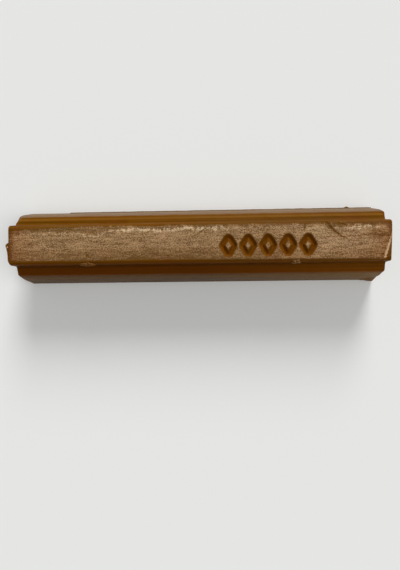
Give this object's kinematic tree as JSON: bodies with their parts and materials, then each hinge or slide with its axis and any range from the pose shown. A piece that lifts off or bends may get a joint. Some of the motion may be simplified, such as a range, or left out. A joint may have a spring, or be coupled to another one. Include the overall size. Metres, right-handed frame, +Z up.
{
  "type": "furniture repair wax stick",
  "caption": "Cast bar of brown pigmented wax with a stepped section and a stamped flat top, rubbed or melted into scratches and dents in furniture.",
  "frame": {"origin": "centre of the flat base that the stick lies on", "axes": "+X along the stick from the gate end to the plain end, +Y across it to the side with the long flash, +Z up from the base to the land"},
  "size_m": [0.0806, 0.0174, 0.0111],
  "materials": {
    "wax": "satin amber-brown wax with a dull, scuffed bloom on the faces that are touched"
  },
  "bodies": {
    "root": {"wax_bar": "wax", "gate_stub": "wax", "land_burrs": "wax", "base_flash": "wax"}
  },
  "joints": []
}
